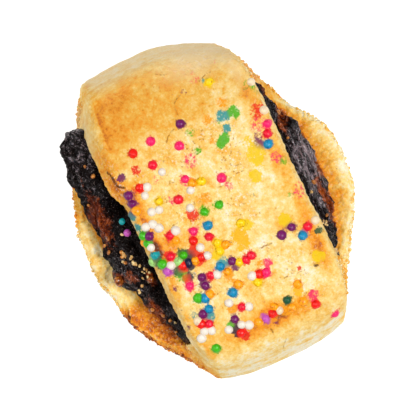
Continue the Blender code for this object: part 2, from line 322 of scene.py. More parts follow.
def swing(tree, value, amount, ground):  # ground, and value's swing about its middle
    return timesPlus(tree, combine(tree, "SUBTRACT", value, 0.5), amount, ground)


def fromMiddle(tree, value):
    return combine(tree, "ABSOLUTE", combine(tree, "SUBTRACT", value, 0.5))


def cloud(tree, place, scale, detail, roughness=0.6, output="Fac"):
    return result(tree, "ShaderNodeTexNoise", {
        "Vector": place, "Scale": scale, "Detail": detail, "Roughness": roughness}, output)


def painted(tree, name, output="Fac"):  # what paint put on the mesh
    return result(tree, "ShaderNodeAttribute", {}, output, attribute_name=name)


def bumped(tree, height, strength, distance):
    return result(tree, "ShaderNodeBump", {
        "Height": height, "Strength": strength, "Distance": distance}, "Normal")


def remap(tree, value, low, high, toLow=0.0, toHigh=1.0):
    return result(tree, "ShaderNodeMapRange", {
        "Value": value, "From Min": low, "From Max": high, "To Min": toLow, "To Max": toHigh}, "Result")


def blendColour(tree, factor, a, b):
    node = addNode(tree, "ShaderNodeMix", {}, data_type="RGBA")
    sockets = {socket.identifier: socket for socket in (*node.inputs, *node.outputs)}
    for key, value in (("Factor_Float", factor), ("A_Color", a), ("B_Color", b)):
        feed(tree, sockets[key], value)
    return sockets["Result_Color"]


def linear(*shade):  # a colour as it looks in the picture, to the light that a surface sends back
    shares = (value / 255 for value in shade)
    return tuple(c / 12.92 if c <= 0.04045 else ((c + 0.055) / 1.055) ** 2.4 for c in shares)


def albedo(*shade):
    return tuple(0.8 * c for c in linear(*shade))


def colourRamp(tree, factor, stops):
    ramp = addNode(tree, "ShaderNodeValToRGB", {"Fac": factor})
    elements = ramp.color_ramp.elements
    while len(elements) < len(stops):
        elements.new(0.5)
    for element, (position, colour) in zip(elements, stops):
        element.position, element.color = position, (*colour, 1)
    return ramp.outputs["Color"]


def newMaterial(name):
    material = bpy.data.materials.new(name)
    material.use_nodes = True
    return material, material.node_tree, material.node_tree.nodes["Principled BSDF"]


def placeOn(tree):  # each point's place on the piece
    return result(tree, "ShaderNodeTexCoord", {}, "Object")


def speckled(name, scale, roughness, stops, strength, depth, finish):  # mottled, with fine bumps
    material, tree, surface = newMaterial(name)
    mottle = cloud(tree, placeOn(tree), scale, 3, roughness)
    dress(tree, surface, {"Base Color": colourRamp(tree, mottle, stops),
                          "Normal": bumped(tree, mottle, strength, depth), **finish})
    return material


# sprinkles: where they lie, and their colours

sprinkles = {
    "radius": 0.88, "plump": 1.12, "proud": 0.16, "squash": (1.0, 0.97, 1.03), "lumpiness": 0.22,
    "smallOnFilling": 0.8, "shake": 0.1, "seed": 26,
    "haloRadius": 1.32, "haloStrength": 0.64, "stainSpread": 1.15,
    "colours": {
        "yellow": (250, 208, 4), "orange": (254, 164, 10), "pink": (252, 30, 106), "crimson": (240, 10, 50),
        "red": (240, 20, 8), "white": (252, 241, 226), "blue": (0, 138, 184), "navy": (16, 20, 62),
        "purple": (112, 12, 96), "lilac": (196, 84, 184), "green": (64, 182, 10),
        "paleGreen": (160, 215, 120), "teal": (0, 156, 160), "cream": (246, 224, 186),
        "darkGreen": (18, 84, 56), "amber": (252, 190, 8),
    },
    "letters": "yopcrwbnulgetkd",      # one for each colour, in the order of the colours
    # runs on the crust: along, across, heading to the next grain, turn at each, spacing, and their letters
    "runs": (
        (-24.7, 9.7, "y"), (-19, 0.3, "u"), (-18.4, -6.9, -81, 0, 4.6, "pr"), (-15, -1.7, "p"),
        (-14.2, 17.7, 180, 0, 6.6, "kk"), (-11.3, 17.1, -22, 0, 2.1, "pcb"), (-5, 3.5, "p"),
        (0, 0.6, -90, 0, 3.5, "gg"), (-6.1, -0.8, -107, -34, 1.8, "yop"), (-5.3, -3.5, "w"),
        (3, -3.5, -18, 0, 2.3, "bc"), (-11.4, -7.4, 212, 0, 2.6, "wc"), (-4.6, -6.8, 30, 0, 3.1, "cw"),
        (2.9, -6.7, -23, 39, 2, "prw"), (-6, -10.7, -26, -70, 1.7, "yww"),
        (-9.9, -11.7, -38, -130, 1.8, "wwr"), (-0.9, -13, 218, 44, 1.5, "www"),
        (1.1, -10.2, -68, 98, 1.6, "wco"), (-9.8, -16.1, 2, 0, 1.8, "uuo"),
        (-0.8, -16.9, 60, -105, 1.5, "gug"), (2.1, -16.4, 0, -40, 1.9, "wt"),
        (6.5, -10.7, -66, -82, 1.8, "gec"), (7.4, -14.2, -122, 134, 1.9, "wgl"),
        (8.7, -6.2, -92, 0, 1.4, "wronr"), (7.2, -3.1, 49, -112, 1.7, "yoy"), (5.5, 3.2, "y"),
        (11.6, 17.7, -78, 28, 2.1, "kcb"), (10.7, 12.6, -75, 0, 2.8, "uu"),
        (12.6, 2.3, -75, -22, 1.5, "ccyu"), (17.3, 3.6, -100, 0, 1.5, "prw"), (18.5, 1.2, "y"),
        (13.6, -3.8, 209, 106, 1.8, "obw"), (13, -7.3, -106, 101, 1.9, "cuu"),
        (17, -2.8, -56, 9, 2.2, "obw"), (21.8, -4.2, 74, 0, 1.5, "cw"), (16.5, -9.1, -79, -37, 1.5, "obg"),
        (19.3, -10.7, -75, 15, 1.7, "buk"), (22.2, -11.9, -112, 0, 1.6, "cr"),
        (23.6, -12, -106, 60, 1.6, "www"), (13.1, -12.3, "p"), (27.4, -12.8, "g"),
        (23.6, -6.6, 27, 32, 1.7, "uww"), (25, -8.7, 48, 0, 2.8, "wr"), (25.7, 2.9, -83, 0, 1.7, "krlo"),
        (24.6, 2.2, "o"), (26.5, 5.4, 94, -40, 2.8, "oor"), (22.3, 8.6, "o"), (24.5, 5.2, "d"),
        (31.6, 13.4, "p"), (5.1, -17.3, 180, 0, 4.4, "eo"),
    ),
    "runOnFilling": (-5.4, -19.6, -2, 0, 2.7, "tl"),
    # where sugar dissolved and left only its dye: along, across, radius and strength
    "stains": {
        "green": (
            (-16.5, 11.7, 1.3, 0.8), (-12.3, 7.5, 1.2, 0.85), (-11.4, 6.2, 0.8, 0.8), (-16.5, 1.4, 1, 0.45),
            (-12.5, 1.3, 0.9, 0.5), (-2.8, 17, 0.9, 0.5), (4.7, 15.2, 0.7, 0.45), (10.5, -13, 1.3, 0.5),
            (24.4, -8, 0.9, 0.6), (-20.5, 16.5, 1.3, 0.3), (-19, 18.4, 1, 0.35), (-15.5, 8.2, 0.8, 0.3),
        ),
        "teal": (
            (-16.8, 9.2, 1.3, 0.7), (-14.2, 9, 0.9, 0.85), (-31.5, 8.8, 1.5, 0.3), (0.3, 7.6, 1.2, 0.25),
            (-25.5, 8.5, 0.5, 0.6), (11.5, -3.5, 1.2, 0.6), (21, -10.9, 1, 0.6), (19, -14.2, 1.2, 0.4),
            (-5.5, -17.4, 1, 0.85), (-3, -17.5, 0.9, 0.85), (-1, -17.2, 0.7, 0.8), (-26, 1, 0.8, 0.15),
        ),
        "orange": (
            (-19.5, 10.2, 1.2, 0.55), (-17.5, 6, 1.2, 0.6), (-13, 5, 0.8, 0.5), (-2.6, -1.3, 1.2, 0.65),
            (21.2, -6.1, 1, 0.8), (15, -4, 1, 0.6), (15, 3.5, 0.9, 0.6), (26.5, 3.8, 1, 0.6),
            (26.6, 0.8, 1.1, 0.6), (26.4, 7, 1, 0.5), (27.4, -2.2, 1, 0.4),
        ),
        "red": (
            (-14.8, 16.5, 1.5, 0.6), (-14, -12.3, 1.1, 0.6), (-0.4, -5.3, 1.3, 0.7), (28, -6, 0.9, 0.8),
            (19.4, 10.5, 0.5, 0.7), (6.6, -8.3, 1.2, 0.9), (8.6, -8.2, 1.3, 0.9), (8.8, -11.9, 1.1, 0.8),
            (11.3, -12.2, 0.9, 0.7), (5.3, -13.6, 1, 0.7),
        ),
        "purple": (
            (-8.1, 13.9, 1.2, 0.55), (-10, 14.2, 1, 0.35), (-14, -15.8, 0.9, 0.8), (-5.8, -17.2, 0.9, 0.7),
            (28.2, 0.8, 0.8, 0.4), (21, -16.4, 0.7, 0.5), (13.5, -1.8, 0.8, 0.7), (-25, 4, 0.7, 0.4),
            (7.8, -14.6, 0.7, 0.6), (12.4, -15.4, 0.6, 0.5),
        ),
        "yellow": (
            (-6.8, 12.2, 2, 0.7), (-4.5, 12, 1.2, 0.6), (-9.8, 11.6, 1.2, 0.55), (-2.3, 10.2, 1.3, 0.95),
            (8.6, 12, 1.3, 0.9), (18.7, 15.2, 1.3, 0.75), (9.5, -4.5, 1, 0.8), (6.4, 4.2, 1.2, 0.8),
        ),
        "amber": ((8, 1.7, 1.7, 0.8), (10, 1.5, 1.4, 0.7), (23.7, 8.3, 1.1, 0.85)),
        "pink": (
            (-26.5, 7, 1.2, 0.3), (-28.7, 12.5, 1.2, 0.3), (-4, 15.8, 1.5, 0.45), (-12, 15.2, 1.5, 0.4),
            (4.5, 17.6, 1.7, 0.4), (-2.8, 4.3, 0.9, 0.5), (-11.2, -1, 1.5, 0.5), (-10.3, -9.2, 1, 0.35),
            (-5.2, -8.3, 1, 0.35), (26, 10.8, 1.3, 0.6), (15.5, 4.8, 1, 0.7),
        ),
        "navy": (
            (7.3, -9.6, 1.3, 1), (8.2, -10.8, 1.2, 0.9), (26, -7.2, 1.2, 0.95), (11.2, -11.2, 1, 0.6),
            (9.3, -10.3, 0.9, 0.9), (6.9, -11.7, 0.7, 0.8), (8.6, -12.4, 0.8, 0.7),
        ),
        "darkGreen": (
            (13.8, 17.6, 0.9, 0.7), (9.3, -13.2, 1, 0.7), (6, -10.6, 1.1, 0.8), (5, -16.3, 0.8, 0.7),
            (6.4, -16.4, 0.8, 0.6),
        ),
    },
}


def walk(run, shake, draw):  # the spots of a run, in the slice's own X and Y
    along, across, *way, marks = run
    heading, turn, spacing = way or (0, 0, 0)
    first = sliceForm["firstSpot"]
    for mark in marks:
        x = first[0] + along + draw.uniform(-shake, shake)
        y = first[1] + across + draw.uniform(-shake, shake)
        yield x, y, mark
        along += spacing * math.cos(math.radians(heading))
        across += spacing * math.sin(math.radians(heading))
        heading += turn


def placeSprinkles(tree, runs):  # each grain's centre, radius and colour name
    draw, names, grains = random.Random(sprinkles["seed"]), list(sprinkles["colours"]), []
    for run in runs:
        for x, y, letter in walk(run, sprinkles["shake"], draw):
            radius = sprinkles["radius"] * draw.uniform(0.92, 1.1)
            draw.uniform(0, math.tau)                # keeps the draws in the solids' order
            point, normal = topHit(x, y, tree)
            if point is not None and point.z >= 0.3 * sliceForm["height"]:
                radius *= sprinkles["plump"]
                centre = point + normal * sprinkles["proud"] * radius
                grains.append((centre, radius, names[sprinkles["letters"].index(letter)]))
    return grains


# crust

crust = {
    "around": 600, "footShare": 0.8, "acrossTop": 81,
    "lipRadius": 0.9, "lipSteps": 5, "rimSteps": 8, "innerSteps": 3,
    "ledgeSteps": 14, "ledgeStep": 0.0135, "floorShares": (0.78, 0.60, 0.30),
    "swell": (0.12, 3.4), "dimple": (0.07, 1.5), "grain": (0.04, 0.8),   # height and size of the relief
    "rimCrumb": (0.30, 1.8), "rimGranule": (0.34, 0.85),
    "dentDepth": 0.14, "dentRadius": 1.3,
    "waver": (0.3, 1.3),               # how far a crack strays, and how often
    "cracks": (                        # hairline cracks and rows of pores
        ((-24.6, 3), (-24.2, 1.8), (-23.4, 1), (-20.3, 0.5)),
        ((-18.7, -1.3), (-18.3, -2.4), (-16.7, -4.2)),
        ((-29.6, 3), (-29.8, 1.8), (-31, -0.1)),
        ((-26.5, 11), (-26.3, 9.5), (-25.6, 7.8)),
        ((12, 7.7), (12, 4.4)),
        ((7.4, -1.7), (8.6, -0.2)),
        ((-0.2, -8.5), (-0.3, -10.9)),
        ((-4.3, 5.6), (-3.3, 3.4), (-3.4, 2)),
        ((-5.8, 8.6), (-6.6, 6.4)),
        ((-9.5, 8), (-8.3, 6.8)),
        ((-11.2, -5.2), (-10.2, -7)),
        ((-2.8, -4.5), (-1.8, -4.2)),
        ((20.1, 10.5), (20, 6.5)),
        ((28.5, -0.5), (31, -0.6)),
        ((32, 1.6), (33.5, 0.3)),
    ),
    "tears": (                         # where the dough parted: a groove, with painted shade in it
        ((-16.3, -17.9), (-14.8, -17.4), (-12.8, -17.2), (-11.6, -16.2)),
        ((20.2, 13.7), (20.5, 14.2)),
    ),
    "crumbs": {"density": 2.4e6, "smallest": 0.20, "largest": 0.50, "lumpiness": 0.5, "seed": 14},
}


def lipPath(thickness):  # (outwards, depth): round the lip, down the cut and round to the inside
    radius = min(crust["lipRadius"], 0.3 * thickness)
    inner = 0.5 * radius
    path = []
    for step in range(crust["lipSteps"]):
        angle = 0.5 * math.pi * (step + 1) / crust["lipSteps"]
        path.append((radius * (math.sin(angle) - 1), radius * (1 - math.cos(angle))))
    for step in range(crust["rimSteps"]):
        path.append((0.0, mix(radius, thickness - inner, (step + 1) / crust["rimSteps"])))
    for step in range(crust["innerSteps"]):
        angle = 0.5 * math.pi * (step + 1) / crust["innerSteps"]
        path.append((inner * (math.cos(angle) - 1), thickness - inner + inner * math.sin(angle)))
    return path


def wallSection(outer, inner):
    thickness = (inner - outer).length
    path = lipPath(thickness)
    radius = -path[0][0] / (1 - math.sin(0.5 * math.pi / crust["lipSteps"]))
    section = []
    low, high = -crustEdge(outer, -1) + radius, crustEdge(outer, 1) - radius
    for step in range(crust["acrossTop"]):
        section.append((outer.x, mix(low, high, step / (crust["acrossTop"] - 1)), outer.z))
    rims = {}
    for side in (1, -1):
        atCrust, atCavity, crease = crustEdge(outer, side), cavityEdge(inner, side), lipCrease(inner)
        rims[side] = []
        for outward, depth in path:
            share = depth / thickness
            point = outer.lerp(inner, share)
            reach = mix(atCrust, atCavity, share) + outward
            reach += rimSwell(point.z) * math.sin(math.pi * share) - crease * share
            rims[side].append((point.x, side * reach, point.z))
    section += rims[1]
    floorShares = [1 - crust["ledgeStep"] * (step + 1) for step in range(crust["ledgeSteps"])]
    floorShares += crust["floorShares"]
    for side, shares in ((1, floorShares), (-1, floorShares[::-1])):
        reach = abs(rims[side][-1][1])
        section += [(inner.x, side * reach * share, inner.z) for share in shares]
    return section + rims[-1][::-1]


def distanceTo(points, line):  # from each point in plan to a line of straight pieces
    nearest = np.full(len(points), 1e9)
    for a, b in zip(line, line[1:]):
        a, b = np.array(a), np.array(b)
        along = np.clip(((points - a) @ (b - a)) / ((b - a) @ (b - a)), 0, 1)
        nearest = np.minimum(nearest, np.linalg.norm(points - a - along[:, None] * (b - a), axis=1))
    return nearest


def stray(plan):  # how far each point is shifted, so that cracks waver
    far, often = crust["waver"]
    return far * np.stack([waves(*plan.T, often, often, level) for level in (2.1, 7.7)], axis=1)


def relief(points, layers, seed):  # the sum of noise layers of (height, size) at each point
    total = np.zeros(len(points))
    for number, (height, size) in enumerate(layers):
        shift = Vector((seed + 7.3 * number, 1.7 * seed, -3.1 * number))
        total += [height * noise.noise(Vector(p) / size + shift) for p in points]
    return total


def nearestCell(point, size):  # how far the nearest of many loose centres is, in cells of the size
    return noise.voronoi(Vector(point) / size, distance_metric="DISTANCE", exponent=2.5)[0][0]


def waves(a, b, sizeA, sizeB, level):  # smooth noise over two coordinates
    return np.array([noise.noise(Vector((x / sizeA, y / sizeB, level))) for x, y in zip(a, b)])


def granules(points, where, height, size):  # rounded grains with creases between them, only where asked
    total = np.zeros(len(points))
    for k in np.nonzero(where)[0]:
        total[k] = height * (1.1 - 2 * nearestCell(points[k], size))
    return total


def buildCrust():
    print("crust: shape")
    count, top, height = crust["around"], crust["acrossTop"], sliceForm["height"]
    outers, inners = crustOutline(count, crust["footShare"]), cavityOutline(count)
    points = np.array([[settle(Vector(p)) for p in wallSection(a, b)] for a, b in zip(outers, inners)])
    columns = points.shape[1]
    mesh = gridMesh("crust", points)
    normals = vertexArray(mesh, "normal")
    flat = points.reshape(-1, 3)
    plan = flat[:, :2] - np.array(sliceForm["firstSpot"])

    column = np.tile(np.arange(columns), count)
    rim = crust["lipSteps"] + crust["rimSteps"] + crust["innerSteps"]
    edge = np.minimum(np.minimum(np.abs(column - (top + rim / 2)), np.abs(column - (columns - rim / 2))), 99)
    onRim = np.clip(1.35 - edge / (rim / 2 + 1.5), 0, 1)
    low = 1 - np.clip((flat[:, 2] - 0.35 * height) / (0.3 * height), 0, 1)   # 1 on the bottom dough
    inside = np.clip((column - top - rim + 2) / 4, 0, 1) * np.clip((columns - rim + 2 - column) / 4, 0, 1)
    rough = np.clip(onRim + 0.9 * low * inside, 0, 1)
    ledge = np.clip(onRim + inside, 0, 1) * low
    exposed = (flat[:, 2] > 0.3 * height) & ((column <= top + rim) | (column >= columns - rim - 2))

    print("crust: relief")
    fine = relief(flat, (crust["swell"], crust["dimple"], crust["grain"]), 3)
    crumb = relief(flat, (crust["rimCrumb"],), 9) + granules(flat, rough > 0.03, *crust["rimGranule"])
    strayed = plan + stray(plan)
    crackDistance, tearDistance = (
        np.where(exposed, np.min([distanceTo(strayed, line) for line in crust[kind]], axis=0), 9.0)
        for kind in ("cracks", "tears"))
    push = fine * (1 - 0.4 * rough) + rough * mix(0.6, 1.0, low) * crumb
    push -= 0.05 * np.exp(-((crackDistance / 0.3) ** 2)) + 0.6 * np.exp(-((tearDistance / 0.4) ** 2))
    under = np.clip((flat[:, 2] - 0.05) / 0.6, 0, 1)
    moved = flat + normals * (push * under)[:, None]
    moved[:, 2] = np.maximum(moved[:, 2], 0)

    tree = rayTree(mesh, moved)
    grains = placeSprinkles(tree, sprinkles["runs"])
    print("crust: dents and dye")
    for centre, _, _ in grains:
        away = np.linalg.norm(moved - np.array(centre), axis=1)
        near = away < 3 * crust["dentRadius"]
        dent = crust["dentDepth"] * np.exp(-((away[near] / crust["dentRadius"]) ** 4))
        moved[near] -= normals[near] * dent[:, None]
    setVertices(mesh, moved)

    fromFig, ledgeShare = ledgePlace(plan)
    bare = (fromFig > -0.4) & (moved[:, 2] > 0.5) & (normals[:, 2] > -0.5)
    back = -plan[:, 0]
    dyeColour, dyeAmount = dye(flat, grains, exposed)
    for name, values in (
        ("crackDistance", crackDistance),
        ("tearDistance", tearDistance),
        ("browning", browning(plan, flat, low, onRim, ledge, ledgeShare)),
        ("openCrumb", np.clip(0.1 + patches(plan, bake["openCrumb"]) + 0.2 * rough, 0, 1)),
        ("floury", floury(plan, flat) * (1 - 0.6 * rough)),
        # painted shade: the back of the slice is darkened where it lies in less light
        ("backShade", 0.10 * smoothArray(10, 24, back) * (1 - smoothArray(28, 31.5, back)) * (1 - rough)),
        # lift brightens the colour: painted light on the ledges and the back end wall, which lie in shade
        ("lift", 1 + 0.15 * ledge + 0.05 * smoothArray(28, 33, back) * (1 - ledge)),
        ("dyeColour", dyeColour),
        ("dyeAmount", dyeAmount),
        ("crumbCover", np.clip(ledge + 0.4 * onRim, 0, 1) * bare),
    ):
        paint(mesh, name, values)
    material = crustMaterial()
    addPiece("crust", mesh, material, "dough")
    scatterCrumbs(mesh, material)
    return tree, grains


def ledgePlace(plan):  # how far outside the filling each point lies, and its share of the ledge
    shares = []
    for x, y in plan + np.array(sliceForm["firstSpot"]):
        side = 1 if y > 0 else -1
        inner, outer = figEdge(x, side), baseEdge(x, side)
        shares.append((abs(y) - inner, (abs(y) - inner) / max(1.0, outer - inner)))
    return np.array(shares).T


bake = {  # how brown the crust is, 0 pale to 1 dark; a patch is along, across, half-lengths and what it adds
    "ground": 0.27,
    "endPatches": ((-33, -16, 3, 2.5, 0.4),),
    "cutPatches": ((-14, -17.5, 7, 3, 0.56), (13, -17.5, 9, 3, 0.14)),
    "floury": (
        (-30.5, 9.5, 3.6, 8, 0.70), (-26, 16, 5, 1.6, 0.5), (-28.5, -19.4, 7.5, 1.6, 0.75),
        (14, -18, 12, 1, 0.5), (-33, -16, 3, 2.5, -0.6),
    ),
    "openCrumb": (  # where the crust tore open in the oven and shows its crumb
        (-14.5, 8, 4, 6.5, 0.7), (-7, 7.5, 3, 2.5, 0.7), (21, 10, 6, 5, 0.7), (14.5, -11.5, 4.5, 3, 0.7),
        (-13, -12.5, 2, 1.6, 0.7), (-13.5, -3.5, 3, 4, 0.7), (9, -12.5, 4, 3, 0.7), (2, 5, 6, 4, 0.7),
        (-7.5, 6.5, 5, 3, 0.7), (-1, -6, 5, 4, 0.7), (-13.5, -17, 3, 1.5, 0.7), (-26, -5, 8, 16, -0.2),
    ),
    "patches": (
        (-26, -3, 8, 15, 0.24), (-24.5, -16, 7, 2.2, 0.36), (-21, -12.5, 6, 3, 0.08),
        (-9, -15.6, 7, 1.8, 0.50), (4, -15.7, 7, 1.6, 0.70), (3.4, -12.2, 2.8, 2.6, 0.42),
        (26.6, 7, 2.2, 6, 0.30), (27, -5, 2.2, 6, 0.42), (26.2, 1, 2.6, 3.5, 0.44),
        (-18, 16.4, 6, 2.2, 0.36), (-4, 16.6, 5, 2, 0.38), (6, 17, 5, 1.6, 0.30), (14, 16.4, 5, 2, 0.44),
        (19, 16, 4, 2, 0.36), (10, 11.8, 2, 2, 0.20), (-14, 12, 4.5, 3, -0.06), (21.5, 10, 4, 4, -0.16),
        (15.5, 3.5, 4, 3, -0.12), (24, -15.5, 8, 1.6, 0.14), (14, -12, 5, 2.6, -0.06),
        (-31, -10, 4, 6, 0.20), (2, 8, 8, 3, -0.02), (-12, -13, 3, 2, 0.12), (-2, -5, 8, 4, 0.10),
        (-27, -12.5, 6, 2.6, 0.06), (18, 0.5, 5, 3, 0.14), (30, 9, 2.4, 6, 0.12), (8, -8, 5, 4, 0.16),
        (24, -13, 4, 3, 0.10), (-14, -7, 4, 4, 0.10), (-12.8, -15, 2.6, 1.3, -0.34),
        (-15.5, -17, 1.8, 0.9, -0.30),
    ),
}


def patch(plan, x, y, halfX, halfY):
    return np.exp(-(((plan[:, 0] - x) / halfX) ** 2 + ((plan[:, 1] - y) / halfY) ** 2) ** 1.3)


def patches(plan, rows):  # the sum of soft patches: along, across, half-lengths and what each adds
    return sum(added * patch(plan, x, y, halfX, halfY) for x, y, halfX, halfY, added in rows)


def smoothArray(low, high, values):
    share = np.clip((values - low) / (high - low), 0, 1)
    return share * share * (3 - 2 * share)


def browning(plan, flat, low, onRim, ledge, ledgeShare):
    height, x, plus = sliceForm["height"], plan[:, 0], plan[:, 1] > 0
    tone = bake["ground"] + patches(plan, bake["patches"])
    ends = 1 - smoothArray(0.45 * height, 0.93 * height, flat[:, 2])     # the end walls are paler
    stripes = 0.26 * waves(flat[:, 1], flat[:, 2], 4, 0.9, 5.5)
    wall = np.where(x < 0, 0.20, 0.11) + stripes + patches(plan, bake["endPatches"])
    tone = tone * (1 - ends) + ends * wall
    cut = 0.8 * onRim * (1 - low)                                        # the top dough's cut
    tone = tone * (1 - cut) + cut * (0.26 + patches(plan, bake["cutPatches"]))
    towardsPlus = 0.70 - 0.58 * smoothArray(0.05, 0.95, ledgeShare)
    alongMinus = 0.50 - 0.30 * smoothArray(-11, -6, x) + 0.62 * smoothArray(10, 14, x)
    alongMinus += 0.28 * smoothArray(0.85, 1.0, ledgeShare) * smoothArray(12, 16, x)
    ledgeTone = np.where(plus, towardsPlus, alongMinus)
    beside = np.where(plus, patch(plan, 0.5, 22.0, 14.0, 9.0), patch(plan, -3.0, -22.0, 22.0, 9.0))
    ledgeTone += 0.45 * (1 - smoothArray(0.0, 0.12, ledgeShare)) * beside    # fruit stains the dough
    bare = (1 - beside) * np.where(x < 0, smoothArray(11, 19, -x), smoothArray(16, 26, x))
    beyond = np.where(x < 0, np.where(plus, 0.55, 0.30), np.where(plus, 0.24, 0.66))
    return tone * (1 - ledge) + ledge * mix(ledgeTone, beyond, bare)


def floury(plan, flat):
    ends = 1 - smoothArray(0.40, 0.95, flat[:, 2] / sliceForm["height"])
    return np.clip(0.62 * ends * (plan[:, 0] < -20) + patches(plan, bake["floury"]), 0, 0.85)


def dye(points, grains, exposed):  # colour that bled from each sprinkle into the crust, and old stains
    height, first = sliceForm["height"], sliceForm["firstSpot"]
    x, y = points[:, 0] - first[0], points[:, 1] - first[1]
    onTop = exposed * smoothArray(0.60, 0.85, points[:, 2] / height)
    belowTop = np.maximum(0, 0.92 * height - points[:, 2])
    spots = []
    for centre, _, name in grains:
        strength = sprinkles["haloStrength"] * (0.25 if name in ("white", "cream") else 1)
        spots.append((centre.x - first[0], centre.y - first[1], np.abs(points[:, 2] - centre.z), exposed,
                      sprinkles["haloRadius"], strength, name))
    for name, stains in sprinkles["stains"].items():
        spots += [(along, across, belowTop, onTop, sprinkles["stainSpread"] * radius, strength, name)
                  for along, across, radius, strength in stains]
    wobble = 0.28 * waves(x, y, 0.9, 0.9, 4.4)
    colour, weight, clear = np.zeros((len(x), 3)), np.zeros(len(x)), np.ones(len(x))
    for along, across, drop, where, radius, strength, name in spots:
        away = np.sqrt((x - along) ** 2 + (y - across) ** 2 + (0.6 * drop) ** 2) / radius + wobble
        share = strength * np.exp(-np.maximum(away, 0) ** 5) * where
        colour += (share**3)[:, None] * 0.95 * np.array(albedo(*sprinkles["colours"][name]))
        weight += share**3
        clear *= 1 - np.minimum(share, 0.98)
    return colour / np.maximum(weight, 1e-6)[:, None], 1 - clear


def crustMaterial():
    material, tree, surface = newMaterial("bakedCrust")
    place = placeOn(tree)
    broad, patchy, mottle, grain, fine = (
        cloud(tree, place, scale, detail)
        for scale, detail in ((230, 5), (480, 3), (1000, 5), (2400, 3), (5200, 2)))
    opened, tone = painted(tree, "openCrumb"), painted(tree, "browning")
    for value, amount in ((broad, 0.60), (patchy, 0.55), (mottle, 0.62), (grain, 0.40)):
        tone = swing(tree, value, amount, tone)
    colour = colourRamp(tree, tone, (
        (0.0, albedo(255, 244, 214)), (0.22, albedo(255, 222, 140)), (0.44, albedo(246, 188, 76)),
        (0.66, albedo(244, 156, 28)), (0.86, albedo(200, 100, 18)), (1.0, albedo(110, 50, 16)),
    ))

    # pores, and flecks of pale crumb between them
    bent = vector(tree, "MULTIPLY_ADD", cloud(tree, place, 1500, 2, 0.5, "Color"), (0.0007,) * 3, place)
    cells = result(tree, "ShaderNodeTexVoronoi", {"Vector": bent, "Scale": 1250}, "Distance")
    sparse = remap(tree, timesPlus(tree, opened, 0.26, cloud(tree, place, 380, 2)), 0.61, 0.72)
    pores = times(tree, remap(tree, cells, 0.08, 0.30, 1, 0), sparse)
    flecks = times(tree, remap(tree, cloud(tree, place, 1700, 2), 0.56, 0.66), times(tree, opened, 0.85))

    # pale, floury dough with a fine crackle
    edges = result(tree, "ShaderNodeTexVoronoi", {"Vector": bent, "Scale": 560}, "Distance",
                   feature="DISTANCE_TO_EDGE")
    crackle = times(tree, remap(tree, edges, 0.01, 0.12, 1, 0), remap(tree, mottle, 0.42, 0.62, 0, 0.6))
    flour = blendColour(tree, crackle, albedo(250, 220, 166), albedo(255, 247, 224))

    # dye, which soaks in unevenly, and cracks and tears
    soak = swing(tree, grain, 1.1, swing(tree, mottle, 1.0, painted(tree, "dyeAmount")))
    crack = remap(tree, swing(tree, grain, 0.5, painted(tree, "crackDistance")), 0.02, 0.16, 1, 0)
    crack = times(tree, crack, remap(tree, mottle, 0.40, 0.55))
    tearShade = remap(tree, swing(tree, grain, 0.6, painted(tree, "tearDistance")), 0.16, 0.36, 1, 0)
    for factor, layer in (
        (times(tree, pores, 0.7), albedo(210, 136, 48)), (flecks, albedo(255, 243, 214)),
        # backShade mixes in a dark brown: painted shade at the back of the slice
        (painted(tree, "floury"), flour), (painted(tree, "backShade"), albedo(140, 92, 40)),
        (remap(tree, soak, 0.30, 0.62, 0, 0.92), painted(tree, "dyeColour", "Color")),
        # tears get a dark brown: painted shade in the gap
        (times(tree, crack, 0.8), albedo(186, 116, 44)), (times(tree, tearShade, 0.92), albedo(84, 38, 14)),
    ):
        colour = blendColour(tree, factor, colour, layer)

    height = timesPlus(tree, fine, 0.12, timesPlus(tree, mottle, 0.8, times(tree, grain, 0.4)))
    for hollow in (pores, crack):
        height = combine(tree, "SUBTRACT", height, times(tree, hollow, 0.4))
    dress(tree, surface, {
        # the colour is scaled up by lift: painted light on the ledges and the back end wall
        "Base Color": vector(tree, "SCALE", colour, painted(tree, "lift")),
        "Normal": bumped(tree, height, 0.9, 0.0005),
        "Roughness": remap(tree, mottle, 0.3, 0.7, 0.55, 0.8), "Specular IOR Level": 0.25,
        "Subsurface Weight": 0.15, "Subsurface Radius": (1.0, 0.55, 0.25), "Subsurface Scale": 0.0005,
    })
    return material


def newTree(name, *sizes):  # a tree with named inputs, and the sockets that give them
    tree = bpy.data.node_groups.new(name, "GeometryNodeTree")
    for label, kind in (
        ("Geometry", "Geometry"), *sizes, ("Lumpiness", "Float"), ("Seed", "Int"), ("Material", "Material")):
        tree.interface.new_socket(name=label, in_out="INPUT", socket_type="NodeSocket" + kind)
    tree.interface.new_socket(name="Geometry", in_out="OUTPUT", socket_type="NodeSocketGeometry")
    return tree, addNode(tree, "NodeGroupInput", {}).outputs


def stored(tree, name):  # what paint put on the mesh or its points
    return result(tree, "GeometryNodeInputNamedAttribute", {"Name": name}, "Attribute", data_type="FLOAT")


def chance(tree, given, low, high, data="FLOAT_VECTOR"):  # a random value for each point
    output = ("FLOAT_VECTOR", "FLOAT").index(data)
    values = {2 * output: low, 2 * output + 1: high, "Seed": given["Seed"]}
    return result(tree, "FunctionNodeRandomValue", values, output, data_type=data)


